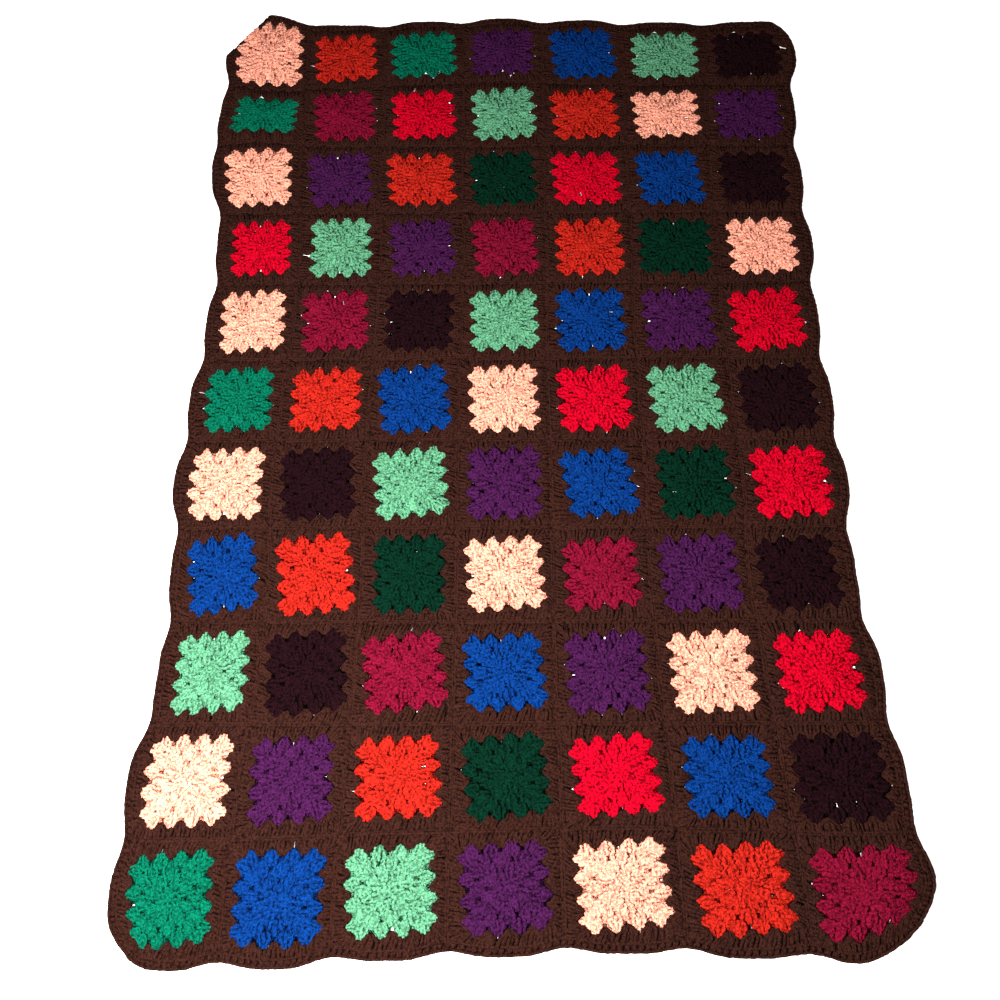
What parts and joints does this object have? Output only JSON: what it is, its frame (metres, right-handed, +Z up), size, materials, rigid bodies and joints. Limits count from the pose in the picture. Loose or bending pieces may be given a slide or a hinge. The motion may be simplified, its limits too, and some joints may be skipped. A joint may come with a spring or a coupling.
{
  "type": "granny square blanket",
  "caption": "Crocheted blanket of plain-coloured granny squares joined in dark brown, with a narrow worked edging, lying flat.",
  "frame": {"origin": "on the floor under the middle of the middle square (fourth column, sixth row)", "axes": "+X across the blanket to its right side, +Y along it to its far end, +Z up"},
  "size_m": [1.1196, 1.6934, 0.012],
  "materials": {
    "joining_yarn": "dark brown, matt acrylic yarn, soft plied twist",
    "edging_yarn": "dark brown, matt acrylic yarn, soft plied twist",
    "peach_yarn": "pale peach, matt acrylic yarn, soft plied twist",
    "orange_yarn": "burnt orange, matt acrylic yarn, soft plied twist",
    "emerald_yarn": "emerald green, matt acrylic yarn, soft plied twist",
    "purple_yarn": "purple, matt acrylic yarn, soft plied twist",
    "blue_yarn": "royal blue, matt acrylic yarn, soft plied twist",
    "mint_yarn": "mint green, matt acrylic yarn, soft plied twist",
    "black_yarn": "plum black, matt acrylic yarn, soft plied twist",
    "wine_yarn": "wine red, matt acrylic yarn, soft plied twist",
    "red_yarn": "bright red, matt acrylic yarn, soft plied twist",
    "forest_yarn": "dark green, matt acrylic yarn, soft plied twist"
  },
  "bodies": {
    "root": {"field": "joining_yarn", "edging": "edging_yarn"}
  },
  "joints": []
}
